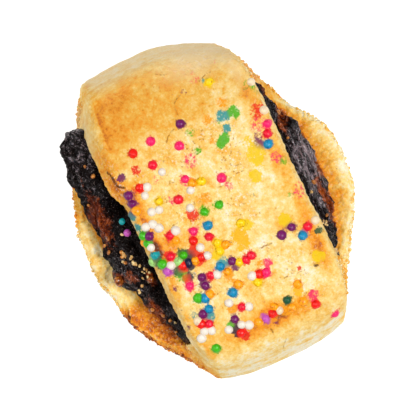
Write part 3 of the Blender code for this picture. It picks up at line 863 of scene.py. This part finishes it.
def crumbTree():  # small uneven lumps over a surface, as thick as its crumbCover says
    tree, given = newTree("crumbScatter", ("Density", "Float"), ("Smallest", "Float"), ("Largest", "Float"))
    points = result(tree, "GeometryNodeDistributePointsOnFaces", {
        "Mesh": given["Geometry"], "Density": times(tree, stored(tree, "crumbCover"), given["Density"]),
        "Seed": given["Seed"]})
    baked = combine(tree, "ADD", stored(tree, "browning"), chance(tree, given, -0.3, 0.3, "FLOAT"))
    points = result(tree, "GeometryNodeStoreNamedAttribute", {
        "Geometry": points, "Name": "browning", "Value": baked}, data_type="FLOAT", domain="POINT")
    ball = result(tree, "GeometryNodeMeshUVSphere", {"Segments": 7, "Rings": 5, "Radius": 1})
    girth = chance(tree, given, given["Smallest"], given["Largest"], "FLOAT")
    uneven = chance(tree, given, (0.65, 0.65, 0.55), (1.2, 1.2, 0.9))
    return growBalls(tree, given, points, ball, vector(tree, "SCALE", uneven, girth))


def growBalls(tree, given, points, ball, size):  # a ball on every point, turned at random and made real
    spin = chance(tree, given, (0, 0, 0), (6.28, 6.28, 6.28))
    placed = result(tree, "GeometryNodeInstanceOnPoints", {
        "Points": points, "Instance": ball, "Rotation": spin, "Scale": size})
    real = result(tree, "GeometryNodeRealizeInstances", {"Geometry": placed})
    bumps = result(tree, "ShaderNodeTexNoise", {"Scale": 900, "Detail": 2}, "Color")
    centred = vector(tree, "SUBTRACT", bumps, (0.5, 0.5, 0.5))
    shaken = result(tree, "GeometryNodeSetPosition", {
        "Geometry": real, "Offset": vector(tree, "SCALE", centred, given["Lumpiness"])})
    rounded = result(tree, "GeometryNodeSetShadeSmooth", {"Geometry": shaken})
    dressed = result(tree, "GeometryNodeSetMaterial", {"Geometry": rounded, "Material": given["Material"]})
    addNode(tree, "NodeGroupOutput", {"Geometry": dressed})
    return tree


def runTree(name, mesh, tree, inputs):  # the plain mesh that a tree makes of a mesh
    holder = newObject(name + "Ground", mesh)
    modifier = holder.modifiers.new("grains", "NODES")
    modifier.node_group = tree
    for socket in tree.interface.items_tree:
        if socket.in_out == "INPUT" and socket.name in inputs:
            modifier[socket.identifier] = inputs[socket.name]
    made = bpy.data.meshes.new_from_object(holder.evaluated_get(bpy.context.evaluated_depsgraph_get()))
    bpy.data.objects.remove(holder)
    made.name = name
    return made


def scatterCrumbs(ground, material):
    print("crust: loose crumbs")
    form = crust["crumbs"]
    inputs = {"Density": form["density"], "Seed": form["seed"], "Material": material}
    inputs |= {key.capitalize(): form[key] * mm for key in ("smallest", "largest", "lumpiness")}
    addPiece("rimCrumbs", runTree("rimCrumbs", ground.copy(), crumbTree(), inputs), material)


# filling

filling = {
    "around": 520, "capRings": 84, "barrelShares": (0.25, 0.5, 0.75, 0.925, 0.965),
    "lump": (1.3, 2.4, 5.2), "fold": (0.75, 2.6), "wrinkle": (0.15, 0.9), "skin": (0.40, 1.7),
    # chopped fibres: heading, length, width and height, and where: along, across and half-lengths
    "fibres": (
        (38, 3.4, 0.75, 0.55, -24, -22.5, 9, 5), (-50, 2.8, 0.70, 0.45, -22, -22.5, 9, 5),
        (-12, 6, 0.75, 0.60, -1, 21.6, 7, 3), (14, 4, 0.80, 0.55, 11, 21, 8, 3),
        (25, 3.2, 1.00, 0.30, 8, -22, 16, 4), (-30, 3, 0.90, 0.22, -10, -23.5, 9, 3),
        (-20, 3, 0.80, 0.40, -12, 20.5, 6, 3),
    ),
    # patches from here on: along, across, half-lengths and what each adds
    # hollows under the top dough, and raisins that stand out
    "swells": (
        (-8.8, -20, 2.4, 1.6, -1.3), (10.6, -19.4, 2, 1, -1), (1.4, -19.9, 2.4, 0.7, -0.8),
        (-16.5, -20, 2, 0.8, -0.8), (-10.8, 21.2, 2.2, 0.9, -1.2), (6.5, 21.9, 2.4, 0.7, -0.7),
        (8.3, -19.2, 1.8, 0.9, 0.9), (-3.4, -24, 1.1, 0.8, 0.7), (18.2, -20.7, 2.2, 0.9, 0.5),
        (2.3, -24, 2.4, 1, 0.6), (-7.5, 22.4, 1.6, 0.8, 0.5), (5.4, -24.2, 2.6, 1.8, 2.2),
    ),
    # where the fig is painted lighter: painted highlights on its crests
    "crestHighlights": (
        (0, 21.6, 9, 3, 0.48), (7, -23, 9, 2, 0.12), (-13, -21, 3, 1.6, 0.10), (18.5, -19.8, 5, 2, 0.12),
    ),
    # red-brown flesh, which lets light in
    "ruddy": (
        (-8, -24, 7, 2.2, 0.84), (5.6, -25.2, 2, 1.4, 1), (8.4, -19.2, 1.9, 0.9, 1),
        (18, -20.8, 5, 1.2, 0.7), (13.5, -21.8, 3, 1, 0.5), (6, -22.5, 2.5, 1, 0.5),
        (-9.6, 20, 1.7, 0.9, 1), (8, 22.2, 5, 1, 0.9), (-12.5, 21.4, 4, 1.2, 0.8), (13, 22, 3, 1.2, 0.7),
        (-18, 19.6, 2, 0.7, 0.6), (2, 23.4, 2.5, 0.6, 0.6),
    ),
}


def coreRing(outline, middle, ring, rings):  # one ring of the core, from the pole at +Y to the pole at -Y
    caps = filling["capRings"]
    side, fromPole = (1 if ring < rings / 2 else -1), min(ring, rings - ring)
    row = []
    for rim in outline:
        spread = min(1.0, fromPole / caps) ** 0.9
        at = middle.lerp(rim, spread)
        if fromPole <= caps:
            bulge = figBulge(at.x, at.z, side) * (1 - 0.40 * smooth(0.94, 1.0, spread))
            reach = side * figFace(at.x, at.z, side)
        else:
            share = filling["barrelShares"][ring - caps - 1]
            bulge = 0.54 * figBulge(at.x, at.z, -1) * smooth(0.93, 0.965, share)
            reach = mix(figFace(at.x, at.z, 1), -figFace(at.x, at.z, -1), share)
        row.append((at.x - bulge, reach, at.z))
    return row


def ridges(points, dimension, spacing, octaves, gain):
    values = [noise.ridged_multi_fractal(Vector(p), dimension, spacing, octaves, 0.9, gain) for p in points]
    return np.clip(values, 0, 2.2)


def buildFilling():
    print("filling: shape")
    form = sliceForm
    count, caps = filling["around"], filling["capRings"]
    rings = 2 * caps + len(filling["barrelShares"]) + 1
    outline = cavityOutline(count, form["gap"])
    middle = Vector((0, 0, 0.5 * (form["baseDough"] + form["height"] - form["topDough"])))
    points = np.array([coreRing(outline, middle, ring, rings) for ring in range(1, rings)])
    flat = points.reshape(-1, 3)
    ringOf = np.repeat(np.arange(1, rings), count)
    spread = np.minimum(1.0, np.minimum(ringOf, rings - ringOf) / caps) ** 0.9
    inside = 1 - smoothArray(0.82, 1.0, spread)
    side = np.where(ringOf < rings / 2, 1, -1)

    print("filling: lumps and folds")
    high, fall, size = filling["lump"]
    lump = high - fall * np.array([nearestCell(p, size) for p in flat])
    foldHeight, foldSize = filling["fold"]
    fold = ridges(flat * np.array((0.45, 1.0, 1.0)) / foldSize, 0.9, 2.1, 4, 1.9) - 1.1
    lump += 0.4 * relief(flat, ((1.0, 2.2),), 4)
    flat[:, 1] += side * (lump + foldHeight * fold) * inside
    settled = np.array([settle(Vector(p)) for p in flat])
    mesh = closedRings("figCore", settled.reshape(points.shape))
    normals = vertexArray(mesh, "normal")[: len(settled)]
    skinHeight, skinSize = filling["skin"]
    skin = ridges(settled / skinSize, 1.0, 2.2, 2, 2.0) / 2.2
    plan = settled[:, :2] - np.array(form["firstSpot"])
    inside = np.maximum(inside, 0.7 * patch(plan, -28.0, -21.3, 2.5, 2.2))
    strands, swells = fibres(settled, plan), patches(plan, filling["swells"])
    wrinkle = relief(settled, (filling["wrinkle"],), 12) + skinHeight * (skin - 0.5) + strands + swells
    moved = vertexArray(mesh)
    moved[: len(settled)] += normals * (wrinkle * inside)[:, None]
    setVertices(mesh, moved)

    # painted highlight and shade: lighter on ridges, strands and crests, darker in the hollows
    crestLightShade = 0.24 + 0.5 * (skin - 0.5) + 0.9 * strands + 0.14 * np.clip(swells, -3, 0.8)
    crestLightShade += patches(plan, filling["crestHighlights"])
    ruddy = patches(plan, filling["ruddy"])
    # weave and streaks say where thin lines of painted highlight run
    weave = (0.45 + 0.55 * patch(plan, -23.0, -22.5, 9.0, 5.0)) * (plan[:, 1] < 0)
    tail = np.zeros(len(moved) - len(settled))
    for name, values in (("crestLightShade", np.clip(crestLightShade, 0, 1)), ("ruddy", np.clip(ruddy, 0, 1)),
                         ("weave", weave), ("streaks", plan[:, 1] > 0)):
        paint(mesh, name, np.concatenate([values, tail]))
    addPiece("figCore", mesh, figMaterial(), "fig_filling", slot="fig_paste")
    return rayTree(mesh, moved)


def fibres(points, plan):  # how far strands of chopped fruit stand out, highest along their middles
    total = np.zeros(len(points))
    for number, (heading, length, width, height, x, y, halfX, halfY) in enumerate(filling["fibres"]):
        where = patch(plan, x, y, halfX, halfY)
        c, s = math.cos(math.radians(heading)), math.sin(math.radians(heading))
        strand = np.zeros(len(points))
        for k in np.nonzero(where > 0.02)[0]:
            px, py, pz = points[k]
            at = Vector(((c * px + s * py) / length, (c * py - s * px) / width, pz / 1.4 + 3.7 * number))
            strand[k] = height * max(0.0, 1 - 3.4 * abs(noise.noise(at)))
        total = np.maximum(total, strand * where)
    return total


def figMaterial():
    material, tree, surface = newMaterial("figPaste")
    place = placeOn(tree)
    broad, fine = cloud(tree, place, 260, 4), cloud(tree, place, 1100, 2)
    flesh = swing(tree, fine, 0.8, swing(tree, broad, 1.6, painted(tree, "ruddy")))

    def strand(heading, lengthwise, crosswise):  # thin lines that run one way: painted highlights along fibres, also bumped
        turned = result(tree, "ShaderNodeVectorRotate", {
            "Vector": place, "Angle": -math.radians(heading)}, rotation_type="Z_AXIS")
        drawn = vector(tree, "MULTIPLY", turned, (lengthwise, crosswise, 0.6 * crosswise))
        return remap(tree, fromMiddle(tree, cloud(tree, drawn, 1, 1, 0.5)), 0.0, 0.055, 1, 0)

    weave = combine(tree, "MAXIMUM", strand(38, 380, 1500), strand(-50, 420, 1600))
    weave = times(tree, weave, painted(tree, "weave"))
    streaks = times(tree, strand(-10, 260, 1500), painted(tree, "streaks"))
    here = remap(tree, cloud(tree, place, 420, 2), 0.40, 0.52)
    threadHighlight = times(tree, combine(tree, "MAXIMUM", weave, streaks), here)
    # ridgeLight makes skin and pulp lighter on crests and threads and darker in hollows, painted highlight
    # and shade; it also sets the specular level
    ridgeLight = swing(tree, fine, 0.95, painted(tree, "crestLightShade"))
    ridgeLight = remap(tree, timesPlus(tree, threadHighlight, 0.60, ridgeLight), 0.24, 0.90)
    skin = colourRamp(tree, ridgeLight, (
        (0.0, linear(10, 4, 3)), (0.45, linear(22, 14, 16)),
        (0.75, linear(52, 42, 48)), (1.0, linear(134, 116, 122)),
    ))
    pulp = blendColour(tree, ridgeLight, linear(84, 27, 6), linear(184, 84, 18))
    colour = blendColour(tree, remap(tree, flesh, 0.34, 0.72), skin, pulp)
    sugarAndGlints = remap(tree, cloud(tree, place, 3400, 2), 0.62, 0.72, 0, 0.55)       # pale specks: fine sugar in the paste, and painted glints

    folds = fromMiddle(tree, cloud(tree, place, 560, 1))
    height = timesPlus(tree, folds, -2.2, times(tree, fine, 0.7))
    height = timesPlus(tree, threadHighlight, 0.8, height)
    height = timesPlus(tree, cloud(tree, place, 2600, 2), 0.45, height)
    dress(tree, surface, {
        "Base Color": blendColour(tree, sugarAndGlints, colour, linear(142, 124, 120)),
        "Normal": bumped(tree, height, 0.9, 0.0006),
        "Roughness": remap(tree, fine, 0.35, 0.65, 0.09, 0.24),
        "Specular IOR Level": remap(tree, ridgeLight, 0.25, 0.85, 0.06, 0.95),
        "Subsurface Weight": 0.05, "Subsurface Radius": (1.0, 0.25, 0.08), "Subsurface Scale": 0.0008,
    })
    return material


# grains, by Geometry Nodes

def grainTree(name, roundness):  # a ball on every point, squashed, each at its own radius
    tree, given = newTree(name, ("Squash", "Vector"))
    ball = result(tree, "GeometryNodeMeshIcoSphere", {"Radius": 1, "Subdivisions": roundness})
    size = vector(tree, "SCALE", given["Squash"], stored(tree, "radius"))
    return growBalls(tree, given, given["Geometry"], ball, size)


def growGrains(name, spots, tree, material, squash, lumpiness, seed, slot="baked_dough"):
    ground = bpy.data.meshes.new(name + "Spots")
    ground.from_pydata([tuple(centre * mm) for centre, _ in spots], [], [])
    paint(ground, "radius", [radius * mm for _, radius in spots])
    inputs = {"Squash": squash, "Lumpiness": lumpiness * mm, "Seed": seed, "Material": material}
    addPiece(name, runTree(name, ground, tree, inputs), material, slot=slot)


def sugarMaterial(name, shade):
    pale = smooth(140, 230, min(shade))                                    # a pale grain has no dark edges
    colour = tuple(mix(0.9, 0.76, pale) * c for c in linear(*shade))
    washed = tuple(mix(c, w, 0.25) for c, w in zip(colour, (0.75, 0.68, 0.60)))
    deep = tuple(c * mix(share, 0.95, pale) for c, share in zip(colour, (0.66, 0.50, 0.55)))
    stops = ((0.34, deep), (0.48, colour), (0.64, colour), (0.78, washed))
    return speckled(name, 1300, 0.6, stops, 0.3, 0.0003, {
        "Roughness": 0.38, "Specular IOR Level": 0.28, "Coat Weight": 0.16, "Coat Roughness": 0.22,
        "Subsurface Weight": 0.15, "Subsurface Radius": (0.6, 0.5, 0.4), "Subsurface Scale": 0.0005})


def buildSprinkles(crustGrains, fillingGrains):
    print("sprinkles")
    tree = grainTree("sugarBall", 4)
    byColour = {}
    for grains, scale in ((crustGrains, 1.0), (fillingGrains, sprinkles["smallOnFilling"])):
        for centre, radius, name in grains:
            byColour.setdefault(name, []).append((centre, scale * radius))
    for number, name in enumerate(sorted(byColour)):
        material = sugarMaterial(name + "Sugar", sprinkles["colours"][name])
        growGrains(name + "Sprinkles", byColour[name], tree, material, sprinkles["squash"],
                   sprinkles["lumpiness"], number)


# fig seeds and crumbs of crust

seeds = {
    # for each kind: usual radius, its middle, light and dark shades, lumpiness and roughness
    "kinds": {
        "figSeeds": (0.54, ((196, 116, 34), (240, 172, 84), (120, 60, 22)), 0.12, 0.45),
        "fallenCrumbs": (0.36, ((232, 190, 118), (250, 226, 170), (190, 124, 52)), 0.6, 0.6),
        "raisins": (None, ((138, 66, 18), (206, 128, 44), (70, 26, 8)), 0.5, 0.18),
    },
    "size": (1.0, 0.78, 0.62), "seed": 27,
    "runs": (
        (-19.5, -22.1, 20, 35, 2.6, 2), (-11.5, -25, 1), (-2.4, -25.3, 10, 0, 1.6, 2),
        (0.4, -22.6, -20, 40, 1.3, 3), (8.7, -21.8, 1), (14.3, -21.8, 1), (20.8, -19, 1), (-7, 19.9, 1),
        (16.5, -20.3, 30, 0, 2, 2), (4, 21, 1), (-12.5, 20.5, 1), (11.8, 20.6, 1),
    ),
    # along, across, radius
    "raisins": ((5.8, -25.6, 1.5), (14.2, -21.9, 0.8), (-3.5, -24, 0.8), (8.3, -19.3, 1.1)),
    # crumbs of crust that fell on the filling: along, across, spread of the cluster, and how many
    "crumbs": (
        (1.2, -22.2, 0.8, 7), (2.4, -21.2, 0.4, 3), (3.8, -21.2, 0.7, 8), (2.8, -23.2, 0.4, 2),
        (6.6, -20, 1.6, 10), (-3, -21, 0.3, 2), (8.7, -21.6, 0.3, 2), (18.9, -18.5, 0.4, 3),
        (13.1, 19.7, 0.7, 8), (19.3, 19.1, 0.6, 5), (5.7, 19.6, 0.2, 2), (9.6, -22.7, 0.3, 3),
    ),
}


def buildSeeds(*trees):
    print("seeds and crumbs")
    draw = random.Random(seeds["seed"])
    first = sliceForm["firstSpot"]
    grains = grainTree("figSeed", 3)
    spots = {                                           # along, across and own radius
        "figSeeds": [
            (x - first[0], y - first[1], None)
            for *way, count in seeds["runs"] for x, y, _ in walk((*way, range(count)), 0.2, draw)],
        "fallenCrumbs": [
            (along + draw.gauss(0, 0.6 * spread), across + draw.gauss(0, 0.35 * spread), None)
            for along, across, spread, count in seeds["crumbs"] for _ in range(count)],
        "raisins": seeds["raisins"],
    }
    for name, (usual, shades, lumpiness, roughness) in seeds["kinds"].items():
        placed = []
        for along, across, own in spots[name]:
            point, normal = topHit(first[0] + along, first[1] + across, *trees)
            if point is not None:
                size = own or usual * draw.uniform(0.7, 1.3)
                placed.append((point + normal * 0.2 * size, size))
        middle, light, dark = (albedo(*shade) for shade in shades)
        skin = speckled(name, 1600, 0.5, ((0.3, dark), (0.5, middle), (0.68, light)), 0.5, 0.0002, {
            "Roughness": roughness})
        growGrains(name, placed, grains, skin, seeds["size"], lumpiness, 5, slot="fig_paste")


# floor, light and camera

studio = {
    "pixelsPerMm": 4.7, "pictureSide": 416, "spot": (216.5, 206.0),   # the pixel of along = across = 0
    "right": (0.42, 0.907), "distance": 1000.0, "level": 20.0,
    "keyFrom": (0.24, 0.34, 0.88), "fillFrom": (-0.30, -0.58, 0.76),
    "key": (0.35, 8.5), "fill": (0.6, 4.5),                             # size in metres and power in watts
    "sky": 0.3, "skyColour": (1.0, 0.95, 0.87),
}


def softbox(name, towards, size, power):
    lamp = bpy.data.lights.new(name, "AREA")
    lamp.shape, lamp.size, lamp.energy = "DISK", size, power
    holder = newObject(name, lamp)
    holder.location = Vector(towards)
    holder.rotation_euler = (-Vector(towards)).to_track_quat("-Z", "Y").to_euler()


def setStage():
    print("stage")
    scene = bpy.context.scene
    bpy.ops.mesh.primitive_plane_add(size=6)
    floor = bpy.context.object
    floor.name = "floor"
    material, tree, surface = newMaterial("paleFloor")
    dress(tree, surface, {"Base Color": (0.3, 0.3, 0.3), "Roughness": 0.9,
                          "Emission Color": (1, 1, 1), "Emission Strength": 0.88})
    floor.data.materials.append(material)
    floor.location.z = -0.0002

    softbox("keyLight", studio["keyFrom"], *studio["key"])
    softbox("fillLight", studio["fillFrom"], *studio["fill"])
    scene.world = bpy.data.worlds.new("studioSky")
    scene.world.use_nodes = True
    sky = scene.world.node_tree
    dress(sky, sky.nodes["Background"], {"Color": studio["skyColour"], "Strength": studio["sky"]})
    scene.view_settings.view_transform = "Standard"

    perMm, side, distance = studio["pixelsPerMm"], studio["pictureSide"], studio["distance"]
    right, towards = Vector((*studio["right"], 0)).normalized(), Vector((0, 0, 1))
    up = Vector((-right.y, right.x, 0))
    target = Vector((*sliceForm["firstSpot"], studio["level"]))
    target += (side / 2 - studio["spot"][0]) / perMm * right
    target -= (side / 2 - studio["spot"][1]) / perMm * up
    view = bpy.data.cameras.new("camera")
    view.sensor_width = 36
    view.lens = view.sensor_width * distance / (side / perMm)
    view.clip_start, view.clip_end = 0.01, 10
    camera = newObject("camera", view)
    camera.location = (target + distance * towards) * mm
    camera.rotation_euler = Matrix((right, up, towards)).transposed().to_euler()
    scene.camera = camera


crustTree, crustGrains = buildCrust()
fillingTree = buildFilling()
buildSprinkles(crustGrains, placeSprinkles(fillingTree, (sprinkles["runOnFilling"],)))
buildSeeds(fillingTree, crustTree)
setStage()

bpy.context.view_layer.update()
